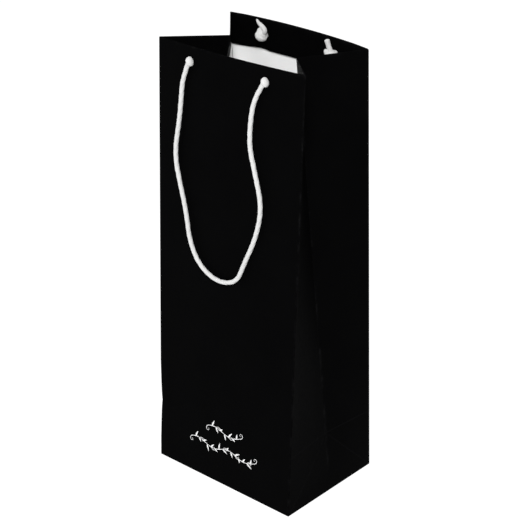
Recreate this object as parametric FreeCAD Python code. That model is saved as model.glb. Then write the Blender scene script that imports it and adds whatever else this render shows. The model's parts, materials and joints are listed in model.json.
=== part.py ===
"""Wine gift bag: one folded sheet of laminated paper with a turned-in hem, two stiffener cards,
a base board and two knotted rope handles.

Millimetres. The bag stands on the XY plane, +Z up, with the middle of its base at the origin.
The front faces -Y and the side gussets face -X and +X. The base is a true rectangle. The mouth
is pinched: each gusset is folded inwards along its centre crease, and the mouth sits a little
askew over the base.
"""
import FreeCAD
import Part
import os
from math import pi, sqrt, tan

V = FreeCAD.Vector

# ---- driving dimensions ------------------------------------------------------------------------
WIDTH = 133.0              # front and back panels
DEPTH = 98.0               # side gussets, each of two halves
HEIGHT = 340.0             # floor to rim
PAPER = 0.4                # laminated paper
STIFFENER = 0.6            # card strip inside the hem
BOARD = 1.5                # loose board on the base
GLUE = 0.05                # between two glued layers

FRONT_BOW = 3.1            # how far the front rim bulges outwards at mid width
BACK_BOW = 5.0
# A pinched crease leans in and crumples a little, so its top sits below the rim.
CREASE_DROP = {"left_crease": 1.6, "right_crease": 3.2}

# The rim's corners and the tops of the gusset creases, as (x, y).
RIM = {
    "front_left": (-66.5, -37.8), "front_right": (68.0, -35.9), "right_crease": (31.8, -2.7),
    "back_right": (65.2, 34.8), "back_left": (-68.5, 39.0), "left_crease": (-34.6, 1.9),
}

HEM = 22.0                 # depth of the turned-in hem
STIFFENER_DEPTH = 20.0
STIFFENER_INSET = 4.0      # from each corner
SEAM_FLAP_WIDTH = 15.0
SEAM_FLAP_INSET = 0.5      # from the corner crease it is folded on
SEAM_FLAP_GAP = 1.0        # below the hem

FLAP_OVERLAP = 15.0        # each base flap reaches this far past the middle
TUCK_FLAP = 62.0
BOARD_CLEARANCE = 1.4      # from the board's edge to the bag's outside
BOARD_CORNER = 2.0
WALL_LEAN = 0.5            # the walls lean in over the base, so its flaps stop short of them

ROPE = 3.4
HOLE = 4.5
KNOT = 9.6
KNOT_GAP = 0.2             # between a knot and the hem it rests on
KNOT_RISE = 1.2            # its middle rides a little above the hole
TAIL = 9.5                 # a knot's cut end, from the middle of the knot

# Handle routes, hole to hole. Each hangs against its panel in an uneven U.
FRONT_HANDLE = [
    (-32.9, -42.3, 329.5), (-39.5, -42.4, 315.5), (-40.5, -42.7, 302.5), (-42.5, -43.2, 285.0),
    (-48.0, -43.7, 257.0), (-41.0, -44.7, 234.0), (-35.5, -45.4, 214.5), (-32.0, -46.2, 194.0),
    (-21.5, -47.0, 178.0), (-3.5, -47.3, 170.5), (14.5, -47.0, 176.0), (21.0, -46.2, 192.0),
    (32.0, -44.9, 217.0), (36.0, -44.0, 240.5), (29.0, -43.6, 265.0), (24.0, -43.3, 281.5),
    (25.0, -42.7, 303.5), (29.0, -42.0, 319.0), (35.8, -41.3, 329.5),
]
BACK_HANDLE = [
    (32.8, 42.1, 329.5), (37.2, 41.9, 318.5), (36.0, 42.5, 303.0), (32.4, 43.4, 284.5),
    (31.4, 44.1, 263.0), (36.6, 44.3, 241.5), (39.2, 44.8, 219.0), (35.0, 45.8, 197.5),
    (24.6, 47.1, 180.5), (7.6, 48.1, 171.5), (-10.4, 48.3, 172.5), (-24.8, 47.9, 184.0),
    (-32.6, 47.1, 203.0), (-36.4, 46.5, 224.0), (-43.2, 45.7, 245.0), (-44.0, 45.2, 266.5),
    (-39.8, 45.0, 287.5), (-38.2, 44.6, 305.5), (-39.6, 44.3, 318.5), (-34.6, 44.2, 329.5),
]

# ---- the folded tube ---------------------------------------------------------------------------
CORNERS = ["front_left", "front_right", "right_crease", "back_right", "back_left", "left_crease"]
FOOT = {
    "front_left": (-WIDTH / 2, -DEPTH / 2), "front_right": (WIDTH / 2, -DEPTH / 2),
    "right_crease": (WIDTH / 2, 0.0), "back_right": (WIDTH / 2, DEPTH / 2),
    "back_left": (-WIDTH / 2, DEPTH / 2), "left_crease": (-WIDTH / 2, 0.0),
}
# Each wall runs from one corner to the next, anticlockwise from above, and may bow outwards.
WALLS = {
    "front_panel": ("front_left", "front_right", V(0, -FRONT_BOW, 0)),
    "right_gusset_front": ("front_right", "right_crease", None),
    "right_gusset_back": ("right_crease", "back_right", None),
    "back_panel": ("back_right", "back_left", V(0, BACK_BOW, 0)),
    "left_gusset_back": ("back_left", "left_crease", None),
    "left_gusset_front": ("left_crease", "front_left", None),
}
HEM_OUTER = PAPER + GLUE                       # where a gusset's hem starts, from the outside
LINED_OUTER = HEM_OUTER + STIFFENER + GLUE     # where a panel's hem starts, behind its stiffener
LINED_INNER = LINED_OUTER + PAPER


def corner(name, rise):
    """A corner of the tube's outside at a fraction of its height."""
    foot, rim = FOOT[name], RIM[name]
    top = HEIGHT - CREASE_DROP.get(name, 0.0)
    x = foot[0] + rise * (rim[0] - foot[0])
    y = foot[1] + rise * (rim[1] - foot[1])
    return V(x, y, rise * top)


def inward(start, end, rise):
    """The level normal of a wall, towards the inside of the bag."""
    along = corner(end, rise) - corner(start, rise)
    return V(-along.y, along.x, 0).normalize()


def mitred(name, rise, depth):
    """The same corner, that far inside both of the walls that meet there."""
    i = CORNERS.index(name)
    before, after = CORNERS[i - 1], CORNERS[(i + 1) % len(CORNERS)]
    n1, n2 = inward(before, name, rise), inward(name, after, rise)
    return corner(name, rise) + (n1 + n2) * (depth / (1 + n1.dot(n2)))


def on_wall(wall, across, rise, depth):
    """A point of a wall: across it from 0 to 1, up it from 0 to 1, and that deep behind its outside."""
    start, end, bow = WALLS[wall]
    a, b = mitred(start, rise, depth), mitred(end, rise, depth)
    point = a + (b - a) * across
    if bow:
        point += bow * (4 * across * (1 - across) * rise)
    return point


def across_curve(wall, span, rise, depth):
    """The level edge of a wall between two places across it."""
    left, right = span
    a, b = on_wall(wall, left, rise, depth), on_wall(wall, right, rise, depth)
    if WALLS[wall][2] and rise > 0:
        return Part.Arc(a, on_wall(wall, (left + right) / 2, rise, depth), b).toShape()
    return Part.LineSegment(a, b).toShape()


def closed_solid(faces):
    shell = Part.Shell(faces)
    shell.sewShape()
    solid = Part.Solid(Part.Shell(shell.Faces))
    if solid.Volume < 0:
        solid.reverse()
    return solid


def strip(wall, section, span=(0.0, 1.0), end_triangles=((0, 1, 2), (0, 2, 3))):
    """A layer of a wall. Its section is a ring of (rise, depth) places."""
    ring = list(zip(section, section[1:] + section[:1]))
    faces = []
    for (rise_a, depth_a), (rise_b, depth_b) in ring:
        lower = across_curve(wall, span, rise_a, depth_a)
        upper = across_curve(wall, span, rise_b, depth_b)
        faces.append(Part.makeRuledSurface(lower, upper))
    for across in span:
        points = [on_wall(wall, across, rise, depth) for rise, depth in section]
        for a, b, c in end_triangles:
            outline = Part.makePolygon([points[a], points[b], points[c], points[a]])
            faces.append(Part.Face(outline))
    return closed_solid(faces)


def layer(wall, rise, depth, span=(0.0, 1.0)):
    """A layer with a plain rectangular section."""
    (low, high), (outer, inner) = rise, depth
    return strip(wall, [(low, outer), (high, outer), (high, inner), (low, inner)], span)


# ---- handles and their holes -------------------------------------------------------------------
HANDLES = {"front": FRONT_HANDLE, "back": BACK_HANDLE}
OUTWARDS = {"front": V(0, -1, 0), "back": V(0, 1, 0)}


def hole_centres(side):
    """The two rope ends of a side, from left to right."""
    route = HANDLES[side]
    return sorted([V(*route[0]), V(*route[-1])], key=lambda p: p.x)


def with_holes(shape, side):
    reach = 4 * KNOT
    for centre in hole_centres(side):
        start = centre + OUTWARDS[side] * (reach / 2)
        shape = shape.cut(Part.makeCylinder(HOLE / 2, reach, start, OUTWARDS[side] * -1))
    return shape


def panel_depth_at(side, centre, depth):
    """How far a point of a panel, behind its outside, is from a rope end, along the hole."""
    wall = side + "_panel"
    rise = centre.z / HEIGHT
    start, end = on_wall(wall, 0, rise, depth), on_wall(wall, 1, rise, depth)
    across = (centre.x - start.x) / (end.x - start.x)
    return abs(on_wall(wall, across, rise, depth).y - centre.y)


def knot(side, centre, tail_direction):
    """The rope's end: a stub through the hole, the knot inside the bag and its cut tail."""
    into = OUTWARDS[side] * -1
    outside = panel_depth_at(side, centre, 0.0)
    reach = panel_depth_at(side, centre, LINED_INNER) + KNOT_GAP + KNOT / 2
    middle = centre + into * reach + V(0, 0, KNOT_RISE)
    start = centre + into * outside
    stub = Part.makeCylinder(ROPE / 2, reach - outside, start, into)
    tail = Part.makeCylinder(ROPE / 2, TAIL, middle, tail_direction)
    return Part.makeSphere(KNOT / 2, middle).fuse([stub, tail])


def rope(name, route):
    """A round rope along straight runs joined by the largest tangent arcs they allow."""
    points = [V(*p) for p in route]
    runs = [(b - a).Length for a, b in zip(points, points[1:])]
    edges, last, radii = [], points[0], []
    for i in range(1, len(points) - 1):
        back, ahead = points[i - 1] - points[i], points[i + 1] - points[i]
        half_turn = (pi - back.getAngle(ahead)) / 2
        trim = 0.45 * min(runs[i - 1], runs[i])
        radius = trim / tan(half_turn)
        start = points[i] + back.normalize() * trim
        end = points[i] + ahead.normalize() * trim
        middle = (start + end) * 0.5
        sagitta = radius - sqrt(radius ** 2 - ((end - start).Length / 2) ** 2)
        crown = middle + (points[i] - middle).normalize() * sagitta
        edges += [Part.LineSegment(last, start).toShape(), Part.Arc(start, crown, end).toShape()]
        last = end
        radii.append(radius)
    edges.append(Part.LineSegment(last, points[-1]).toShape())
    path = Part.Wire(edges)
    section = Part.Wire([Part.makeCircle(ROPE / 2, points[0], points[1] - points[0])])
    tube = path.makePipeShell([section], True, False)
    wanted = path.Length * pi * ROPE ** 2 / 4
    print(name, "length", round(path.Length, 1), "volume ratio", round(tube.Volume / wanted, 4))
    print("  radii", [round(r, 1) for r in radii])
    print("  runs", [round(r, 1) for r in runs])
    return tube


# ---- base --------------------------------------------------------------------------------------
def extruded_profile(points, width):
    """A (y, z) outline drawn out along X, centred."""
    ring = [V(-width / 2, y, z) for y, z in points + points[:1]]
    return Part.Face(Part.makePolygon(ring)).extrude(V(width, 0, 0))


def slab(outline, low, thickness):
    """A level plate with an (x, y) outline."""
    ring = [V(x, y, low) for x, y in outline + outline[:1]]
    return Part.Face(Part.makePolygon(ring)).extrude(V(0, 0, thickness))


INNER_WIDTH = WIDTH - 2 * (PAPER + GLUE)
INNER_DEPTH = DEPTH - 2 * (PAPER + GLUE)
FLAP_WIDTH = INNER_WIDTH - 2 * WALL_LEAN
SECOND_LAYER = PAPER + GLUE
THIRD_LAYER = 2 * SECOND_LAYER
BOARD_LEVEL = 3 * SECOND_LAYER


def base_flap(profile, direction):
    """A main flap: its sides run in at 45 degrees from the corners of the base."""
    root, half = INNER_DEPTH / 2, FLAP_WIDTH / 2
    tip = half - (root + FLAP_OVERLAP)
    outline = [
        (-half, -root * direction), (half, -root * direction),
        (tip, FLAP_OVERLAP * direction), (-tip, FLAP_OVERLAP * direction),
    ]
    return extruded_profile(profile, FLAP_WIDTH).common(slab(outline, -PAPER, 2 * BOARD_LEVEL))


def base_front_flap():
    edge = -INNER_DEPTH / 2 + GLUE
    profile = [(edge, 0), (FLAP_OVERLAP, 0), (FLAP_OVERLAP, PAPER), (edge, PAPER)]
    return base_flap(profile, 1)


def base_back_flap():
    """It lies on the floor at the back and steps up on to the front flap."""
    edge, step = INNER_DEPTH / 2 - GLUE, FLAP_OVERLAP + 3 * PAPER
    raised = SECOND_LAYER
    profile = [
        (edge, 0), (step, 0), (FLAP_OVERLAP + GLUE, raised), (-FLAP_OVERLAP, raised),
        (-FLAP_OVERLAP, raised + PAPER), (FLAP_OVERLAP, raised + PAPER), (step, PAPER), (edge, PAPER),
    ]
    return base_flap(profile, -1)


def base_tuck_flap(side):
    """The gusset's own flap, a plain oblong under the board and over both main flaps."""
    root, tip = side * FLAP_WIDTH / 2, side * (FLAP_WIDTH / 2 - TUCK_FLAP)
    half = INNER_DEPTH / 2 - 2 * WALL_LEAN
    return slab([(root, -half), (root, half), (tip, half), (tip, -half)], THIRD_LAYER, PAPER)


def base_board():
    half_w, half_d = WIDTH / 2 - BOARD_CLEARANCE, DEPTH / 2 - BOARD_CLEARANCE
    outline = [(-half_w, -half_d), (half_w, -half_d), (half_w, half_d), (-half_w, half_d)]
    plate = slab(outline, BOARD_LEVEL, BOARD)
    upright = [e for e in plate.Edges if abs(e.Vertexes[0].Z - e.Vertexes[1].Z) > BOARD / 2]
    return plate.makeFillet(BOARD_CORNER, upright)


# ---- hem ---------------------------------------------------------------------------------------
HEM_LOW = 1 - HEM / HEIGHT
FOLD_LOW = 1 - PAPER / HEIGHT                  # underside of the fold that caps the stiffener
# The hooked end section of a panel's hem, as triangles over its six places.
HOOK_TRIANGLES = ((5, 0, 4), (0, 1, 4), (4, 1, 2), (4, 2, 3))


def panel_hem(side):
    """The panel's turned-in edge, hooked over the top of its stiffener."""
    section = [
        (1.0, PAPER), (1.0, LINED_INNER), (HEM_LOW, LINED_INNER),
        (HEM_LOW, LINED_OUTER), (FOLD_LOW, LINED_OUTER), (FOLD_LOW, PAPER),
    ]
    return with_holes(strip(side + "_panel", section, end_triangles=HOOK_TRIANGLES), side)


def stiffener(side):
    inset = STIFFENER_INSET / WIDTH
    rise = (FOLD_LOW - STIFFENER_DEPTH / HEIGHT, FOLD_LOW - GLUE / HEIGHT)
    depth = (HEM_OUTER, HEM_OUTER + STIFFENER)
    return with_holes(layer(side + "_panel", rise, depth, (inset, 1 - inset)), side)


# ---- parts -------------------------------------------------------------------------------------
def build():
    parts = {}
    for side in ("front", "back"):
        wall = side + "_panel"
        parts[wall] = with_holes(layer(wall, (0.0, 1.0), (0.0, PAPER)), side)
        parts[side + "_hem"] = panel_hem(side)
        parts[side + "_stiffener"] = stiffener(side)
    for wall in WALLS:
        if "gusset" in wall:
            parts[wall] = layer(wall, (0.0, 1.0), (0.0, PAPER))
            parts[wall + "_hem"] = layer(wall, (HEM_LOW, 1.0), (HEM_OUTER, HEM_OUTER + PAPER))
    seam_rise = ((BOARD_LEVEL + BOARD) / HEIGHT, HEM_LOW - SEAM_FLAP_GAP / HEIGHT)
    seam_span = (SEAM_FLAP_INSET / (DEPTH / 2), SEAM_FLAP_WIDTH / (DEPTH / 2))
    seam_depth = (HEM_OUTER, HEM_OUTER + PAPER)
    parts["seam_flap"] = layer("left_gusset_back", seam_rise, seam_depth, seam_span)

    parts["base_front_flap"] = base_front_flap()
    parts["base_back_flap"] = base_back_flap()
    parts["base_left_tuck_flap"] = base_tuck_flap(-1)
    parts["base_right_tuck_flap"] = base_tuck_flap(1)
    parts["base_board"] = base_board()

    tails = {
        "front_left": V(0.45, 0.45, -0.77), "front_right": V(-0.3, 0.6, -0.74),
        "back_left": V(-0.5, -0.25, 0.83), "back_right": V(-0.55, -0.2, 0.81),
    }
    for side in ("front", "back"):
        for hand, centre in zip(("left", "right"), hole_centres(side)):
            name = side + "_" + hand
            parts[name + "_knot"] = knot(side, centre, tails[name])
        parts[side + "_handle_rope"] = rope(side + "_handle_rope", HANDLES[side])
    return parts


os.makedirs("parts", exist_ok=True)
for node, shape in build().items():
    print(node, "valid" if shape.isValid() else "INVALID", "solids", len(shape.Solids),
          "volume", round(shape.Volume, 1))
    shape.exportStep("parts/" + node + ".step")
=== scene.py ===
"""Wine gift bag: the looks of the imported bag. One folded sheet of laminated paper with a turned-in
hem, its stiffener cards and base board, and two handles of three-strand rope, knotted inside.

Blender works in metres. The folded sheet, the printed sprigs and the drawn knot are worked out in
millimetres, like the CAD, and scaled.
"""
import bpy
import json
import math
import numpy as np
from mathutils import Matrix, Vector, noise
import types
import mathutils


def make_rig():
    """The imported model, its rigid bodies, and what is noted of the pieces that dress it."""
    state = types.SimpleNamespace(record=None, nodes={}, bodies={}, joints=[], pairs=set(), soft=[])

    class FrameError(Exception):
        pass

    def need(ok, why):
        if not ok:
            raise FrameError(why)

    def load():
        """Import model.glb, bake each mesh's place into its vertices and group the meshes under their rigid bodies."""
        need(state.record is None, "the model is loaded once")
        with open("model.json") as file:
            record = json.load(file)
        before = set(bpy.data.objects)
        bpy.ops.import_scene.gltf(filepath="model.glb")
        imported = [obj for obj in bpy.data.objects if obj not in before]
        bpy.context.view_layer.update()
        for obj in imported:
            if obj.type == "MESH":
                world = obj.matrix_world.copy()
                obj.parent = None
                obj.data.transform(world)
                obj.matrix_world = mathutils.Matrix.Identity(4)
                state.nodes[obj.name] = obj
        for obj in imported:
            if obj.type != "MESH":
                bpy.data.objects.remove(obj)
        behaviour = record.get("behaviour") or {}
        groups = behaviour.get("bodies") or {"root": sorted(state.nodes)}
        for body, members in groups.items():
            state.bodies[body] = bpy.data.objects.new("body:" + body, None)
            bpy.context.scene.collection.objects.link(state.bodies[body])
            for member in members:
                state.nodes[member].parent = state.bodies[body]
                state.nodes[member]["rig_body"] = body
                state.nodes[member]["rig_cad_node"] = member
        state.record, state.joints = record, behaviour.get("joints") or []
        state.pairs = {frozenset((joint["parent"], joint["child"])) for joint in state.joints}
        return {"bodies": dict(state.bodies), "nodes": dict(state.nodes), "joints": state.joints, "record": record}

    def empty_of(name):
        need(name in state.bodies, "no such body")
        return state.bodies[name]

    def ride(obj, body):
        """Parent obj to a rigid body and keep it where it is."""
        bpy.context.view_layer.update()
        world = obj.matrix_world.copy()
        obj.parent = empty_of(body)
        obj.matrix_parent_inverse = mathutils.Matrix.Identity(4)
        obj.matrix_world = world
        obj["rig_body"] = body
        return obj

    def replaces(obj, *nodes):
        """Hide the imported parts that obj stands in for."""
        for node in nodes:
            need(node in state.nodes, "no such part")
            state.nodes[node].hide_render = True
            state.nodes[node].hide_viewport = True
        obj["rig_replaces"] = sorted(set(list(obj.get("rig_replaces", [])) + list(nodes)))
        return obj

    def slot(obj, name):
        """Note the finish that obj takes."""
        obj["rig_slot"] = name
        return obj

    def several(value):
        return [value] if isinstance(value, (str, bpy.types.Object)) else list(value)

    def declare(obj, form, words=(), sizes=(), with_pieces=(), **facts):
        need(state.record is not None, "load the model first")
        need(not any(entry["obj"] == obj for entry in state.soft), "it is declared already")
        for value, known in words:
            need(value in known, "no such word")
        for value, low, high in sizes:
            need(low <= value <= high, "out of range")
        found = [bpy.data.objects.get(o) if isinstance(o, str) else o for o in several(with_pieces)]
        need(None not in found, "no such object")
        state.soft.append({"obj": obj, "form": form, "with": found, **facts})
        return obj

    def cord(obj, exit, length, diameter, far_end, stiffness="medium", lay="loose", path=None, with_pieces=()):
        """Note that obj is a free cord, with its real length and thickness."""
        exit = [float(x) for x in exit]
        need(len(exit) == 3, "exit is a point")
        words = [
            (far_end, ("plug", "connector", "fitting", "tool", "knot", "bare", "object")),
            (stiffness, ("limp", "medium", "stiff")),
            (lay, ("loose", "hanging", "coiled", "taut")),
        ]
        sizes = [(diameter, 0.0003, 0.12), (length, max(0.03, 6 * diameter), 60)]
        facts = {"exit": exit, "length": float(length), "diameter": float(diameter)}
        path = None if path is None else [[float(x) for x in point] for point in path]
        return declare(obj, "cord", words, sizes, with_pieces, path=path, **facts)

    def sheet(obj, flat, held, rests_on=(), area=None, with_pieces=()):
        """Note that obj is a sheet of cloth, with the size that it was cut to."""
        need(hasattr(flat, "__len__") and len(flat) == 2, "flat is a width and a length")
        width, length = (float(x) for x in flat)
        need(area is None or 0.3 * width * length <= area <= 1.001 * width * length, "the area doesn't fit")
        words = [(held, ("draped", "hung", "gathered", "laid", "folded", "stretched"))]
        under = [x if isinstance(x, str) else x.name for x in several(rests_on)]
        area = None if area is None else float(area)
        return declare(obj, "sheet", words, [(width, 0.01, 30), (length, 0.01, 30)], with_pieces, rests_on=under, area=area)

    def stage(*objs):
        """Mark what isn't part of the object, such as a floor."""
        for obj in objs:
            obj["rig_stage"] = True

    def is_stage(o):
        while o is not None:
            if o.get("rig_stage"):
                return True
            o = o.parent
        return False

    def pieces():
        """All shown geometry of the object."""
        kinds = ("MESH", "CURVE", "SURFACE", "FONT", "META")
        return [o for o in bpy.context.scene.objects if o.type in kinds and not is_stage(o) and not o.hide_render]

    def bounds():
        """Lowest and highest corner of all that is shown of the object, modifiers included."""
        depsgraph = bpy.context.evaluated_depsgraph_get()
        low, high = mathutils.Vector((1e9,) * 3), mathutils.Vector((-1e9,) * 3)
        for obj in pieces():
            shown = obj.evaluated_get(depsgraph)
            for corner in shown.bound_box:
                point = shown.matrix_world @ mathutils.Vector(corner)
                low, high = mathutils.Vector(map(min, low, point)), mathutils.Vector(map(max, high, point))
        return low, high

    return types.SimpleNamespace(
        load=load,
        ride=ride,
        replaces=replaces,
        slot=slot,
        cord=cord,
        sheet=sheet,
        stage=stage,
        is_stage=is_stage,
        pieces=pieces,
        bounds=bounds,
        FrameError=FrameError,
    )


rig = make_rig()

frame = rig.load()
cad_box = [[float(v) for v in c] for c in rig.bounds()]
MM = 0.001

# ---- camera, lamps, meshes and node trees --------------------------------------------------------
scene = bpy.context.scene
scene.view_settings.view_transform = "Standard"


def aim(obj, place, target):
    obj.location = place
    obj.rotation_euler = (Vector(target) - Vector(place)).to_track_quat("-Z", "Y").to_euler()


def camera():
    data = bpy.data.cameras.new("camera")
    data.lens, data.sensor_width = 107.57, 36.0
    data.clip_start, data.clip_end = 0.05, 30.0
    obj = bpy.data.objects.new("camera", data)
    scene.collection.objects.link(obj)
    target, distance = Vector((0.00016, 0.00015, 0.16885)), 1.1766
    around, up = math.radians(41.41), math.radians(25.32)
    away = Vector((math.sin(around) * math.cos(up), -math.cos(around) * math.cos(up), math.sin(up)))
    aim(obj, target + away * distance, target)
    scene.camera = obj


def area_light(name, place, target, size, power):
    data = bpy.data.lights.new(name, "AREA")
    data.shape, data.size, data.energy = "DISK", size, power
    obj = bpy.data.objects.new(name, data)
    scene.collection.objects.link(obj)
    aim(obj, place, target)


def link(piece):
    scene.collection.objects.link(piece)
    return piece


def mesh_object(name, points, faces, smooth=True):
    """A mesh from points in metres."""
    mesh = bpy.data.meshes.new(name)
    corners = [tuple(map(int, f)) for f in faces]
    mesh.from_pydata([tuple(map(float, p)) for p in points], [], corners)
    mesh.polygons.foreach_set("use_smooth", [smooth] * len(mesh.polygons))
    mesh.update()
    return link(bpy.data.objects.new(name, mesh))


class Nodes:
    """A short way to build a material's node tree."""

    def __init__(self, name):
        self.material = bpy.data.materials.new(name)
        self.material.use_nodes = True
        self.tree = self.material.node_tree
        self.shader = self.tree.nodes["Principled BSDF"]

    def add(self, kind, inputs=(), **settings):
        node = self.tree.nodes.new("ShaderNode" + kind)
        for key, value in settings.items():
            setattr(node, key, value)
        for key, value in dict(inputs).items():
            self.put(node.inputs[key], value)
        return node

    def put(self, socket, value):
        if isinstance(value, bpy.types.NodeSocket):
            self.tree.links.new(value, socket)
        else:
            socket.default_value = value

    def set(self, **inputs):
        for key, value in inputs.items():
            self.put(self.shader.inputs[key.replace("_", " ")], value)

    def math(self, operation, a, b=0.0, clamp=False):
        return self.add("Math", {0: a, 1: b}, operation=operation, use_clamp=clamp).outputs[0]

    def span(self, value, low, high, to_low=0.0, to_high=1.0):
        inputs = {"Value": value, 1: low, 2: high, 3: to_low, 4: to_high}
        return self.add("MapRange", inputs, interpolation_type="SMOOTHSTEP").outputs[0]

    def mix(self, factor, a, b):
        node = self.add("Mix", data_type="RGBA")
        for index, value in ((0, factor), (6, a), (7, b)):
            self.put(node.inputs[index], value)
        return node.outputs[2]

    def noise(self, where, scale, detail=3.0, rough=0.5):
        inputs = {"Vector": where, "Scale": scale, "Detail": detail, "Roughness": rough}
        return self.add("TexNoise", inputs).outputs["Fac"]

    def stretched(self, where, scale):
        return self.add("Mapping", {"Vector": where, "Scale": scale}).outputs[0]

    def bump(self, height, strength, distance, under=None):
        inputs = {"Height": height, "Strength": strength, "Distance": distance}
        if under is not None:
            inputs["Normal"] = under
        return self.add("Bump", inputs).outputs[0]


# ---- handle routes, the same points as the CAD's, in metres --------------------------------------
FRONT_HANDLE = [
    (-0.0329, -0.0423, 0.3295), (-0.0395, -0.0424, 0.3155), (-0.0405, -0.0427, 0.3025),
    (-0.0425, -0.0432, 0.2850), (-0.0480, -0.0437, 0.2570), (-0.0410, -0.0447, 0.2340),
    (-0.0355, -0.0454, 0.2145), (-0.0320, -0.0462, 0.1940), (-0.0215, -0.0470, 0.1780),
    (-0.0035, -0.0473, 0.1705), (0.0145, -0.0470, 0.1760), (0.0210, -0.0462, 0.1920),
    (0.0320, -0.0449, 0.2170), (0.0360, -0.0440, 0.2405), (0.0290, -0.0436, 0.2650),
    (0.0240, -0.0433, 0.2815), (0.0250, -0.0427, 0.3035), (0.0290, -0.0420, 0.3190),
    (0.0358, -0.0413, 0.3295),
]
BACK_HANDLE = [
    (0.0328, 0.0421, 0.3295), (0.0372, 0.0419, 0.3185), (0.0360, 0.0425, 0.3030),
    (0.0324, 0.0434, 0.2845), (0.0314, 0.0441, 0.2630), (0.0366, 0.0443, 0.2415),
    (0.0392, 0.0448, 0.2190), (0.0350, 0.0458, 0.1975), (0.0246, 0.0471, 0.1805),
    (0.0076, 0.0481, 0.1715), (-0.0104, 0.0483, 0.1725), (-0.0248, 0.0479, 0.1840),
    (-0.0326, 0.0471, 0.2030), (-0.0364, 0.0465, 0.2240), (-0.0432, 0.0457, 0.2450),
    (-0.0440, 0.0452, 0.2665), (-0.0398, 0.0450, 0.2875), (-0.0382, 0.0446, 0.3055),
    (-0.0396, 0.0443, 0.3185), (-0.0346, 0.0442, 0.3295),
]
HANDLES = {"front": FRONT_HANDLE, "back": BACK_HANDLE}
HANDLE_LENGTH = {"front": 0.355, "back": 0.357}
INTO = {"front": np.array((0, 1, 0)), "back": np.array((0, -1, 0))}  # from a hole into the bag
ROPE = 0.0034                        # a rope's diameter

# ---- the folded tube, as the CAD has it (mm) -----------------------------------------------------
WIDTH, DEPTH, HEIGHT = 133.0, 98.0, 340.0
HALF_W, HALF_D = WIDTH / 2, DEPTH / 2
GUSSET = DEPTH / 2                   # one half of a gusset, between its crease and a corner
RIM = {
    "front_left": (-66.5, -37.8), "front_right": (68.0, -35.9), "right_crease": (31.8, -2.7),
    "back_right": (65.2, 34.8), "back_left": (-68.5, 39.0), "left_crease": (-34.6, 1.9),
}
FOOT = {
    "front_left": (-HALF_W, -HALF_D), "front_right": (HALF_W, -HALF_D),
    "right_crease": (HALF_W, 0.0), "back_right": (HALF_W, HALF_D),
    "back_left": (-HALF_W, HALF_D), "left_crease": (-HALF_W, 0.0),
}
CREASE_DROP = {"left_crease": 1.6, "right_crease": 3.2}
# The sheet's walls in order round the bag, from the glued seam at the back left corner: where each
# starts and ends, its flat width, and how far it bows along Y at the rim.
WALLS = [
    ("back_left", "left_crease", GUSSET, 0.0),
    ("left_crease", "front_left", GUSSET, 0.0),
    ("front_left", "front_right", WIDTH, -3.1),
    ("front_right", "right_crease", GUSSET, 0.0),
    ("right_crease", "back_right", GUSSET, 0.0),
    ("back_right", "back_left", WIDTH, 5.0),
]
LEFT_BACK, LEFT_FRONT, FRONT, RIGHT_FRONT, RIGHT_BACK, BACK = range(6)
PANELS = (FRONT, BACK)
PANEL_OF = {"front": FRONT, "back": BACK}
FOLDS = [sum(wall[2] for wall in WALLS[:i]) for i in range(7)]   # across the flat sheet
THICK = 0.25                         # the paper
MID = THICK / 2
TURN = 0.5                           # how far a fold's rounding reaches
SEAM_DEPTH = 0.41
HEM_LOW = 318.4                      # the hem's cut edge
HOLE_RADIUS = 2.25
# Depths of the paper's middle behind the six walls' outside: plain, and in the hem, where it lies
# on a gusset or over a panel's stiffener.
PLAIN = [MID] * 6
HEM = [1.3 if wall in PANELS else 0.4 for wall in range(6)]
LEVEL = [0.0] * 6


def clamp(value):
    return min(1.0, max(0.0, value))


def ease(k):
    return k * k * (3 - 2 * k)


def corner(name, rise):
    """A corner or crease of the tube, at a share of its height."""
    foot, rim = FOOT[name], RIM[name]
    top = HEIGHT - CREASE_DROP.get(name, 0.0)
    return np.array([foot[0] + rise * (rim[0] - foot[0]), foot[1] + rise * (rim[1] - foot[1]),
                     rise * top])


def inward(wall, rise):
    """The level direction into the bag, square to a wall."""
    along = corner(WALLS[wall][1], rise) - corner(WALLS[wall][0], rise)
    normal = np.array([-along[1], along[0], 0.0])
    return normal / np.linalg.norm(normal)


def wall_ends(wall, rise, depths):
    """The two edges of a wall, where its offset line meets those of its neighbours."""
    ends = []
    for before, after, name in ((wall - 1, wall, WALLS[wall][0]),
                                (wall, (wall + 1) % 6, WALLS[wall][1])):
        normals = np.array([inward(before, rise)[:2], inward(after, rise)[:2]])
        shift = np.linalg.lstsq(normals, np.array([depths[before], depths[after]]), rcond=1e-4)[0]
        ends.append(corner(name, rise) + np.array([shift[0], shift[1], 0.0]))
    return ends


def soft_noise(x, y, seed):
    return noise.noise(Vector((x, y, seed)))


def dent(wall, t, v):
    """How far the paper has sunk inwards, in mm, t across its wall and v up it."""
    edge = clamp(min(t, WALLS[wall][2] - t) / 14.0)
    keep = ease(edge) * clamp(v / 25.0) * clamp((316.0 - v) / 30.0)
    large = 0.42 * soft_noise(t / 46.0, v / 70.0, 3.1 + wall) + 0.26
    small = 0.07 * soft_noise(t / 13.0, v / 19.0, 9.7 + wall)
    return keep * max(-0.08, large + small)


def on_wall(wall, t, rise, depths, dented=True, ends=None):
    """A point of the sheet, t across its wall and a share of the height up it."""
    _, _, width, bow = WALLS[wall]
    a, b = ends or wall_ends(wall, rise, depths)
    across = t / width
    point = a + (b - a) * across
    point[1] += bow * 4 * across * (1 - across) * rise
    if dented:
        point += inward(wall, rise) * dent(wall, t, rise * HEIGHT)
    return point


def across_at(wall, x, rise, depths):
    """How far across a panel an x lies, in mm."""
    a, b = wall_ends(wall, rise, depths)
    return WIDTH * (x - a[0]) / (b[0] - a[0])


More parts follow.
